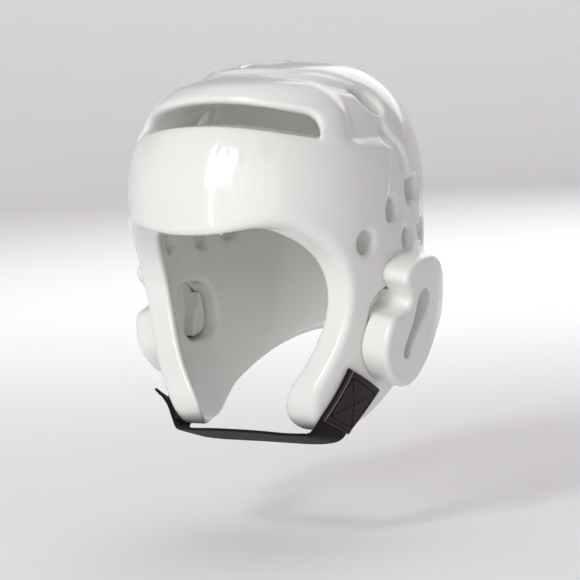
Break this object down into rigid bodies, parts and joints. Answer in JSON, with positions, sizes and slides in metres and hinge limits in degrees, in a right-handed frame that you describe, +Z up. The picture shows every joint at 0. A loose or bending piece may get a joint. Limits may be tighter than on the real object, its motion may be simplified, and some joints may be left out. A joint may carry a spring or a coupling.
{
  "type": "martial arts head guard",
  "caption": "Padded head guard: one thick foam shell with an open face, a foam guard over each ear and a webbing chin strap.",
  "frame": {"origin": "inside of the crown, where the guard sits on a head", "axes": "+Z up, the wearer faces -Y, the wearer's left is +X"},
  "size_m": [0.2144, 0.2235, 0.2538],
  "materials": {
    "dipped_foam": "glossy dipped skin over soft foam",
    "webbing": "black woven webbing",
    "hook_tape": "black hook tape"
  },
  "bodies": {
    "root": {"foam_shell": "dipped_foam", "ear_guard_left": "dipped_foam", "ear_guard_right": "dipped_foam", "chin_strap": "webbing", "strap_sewn_end_left": "webbing", "hook_pad_right": "hook_tape"}
  },
  "joints": []
}
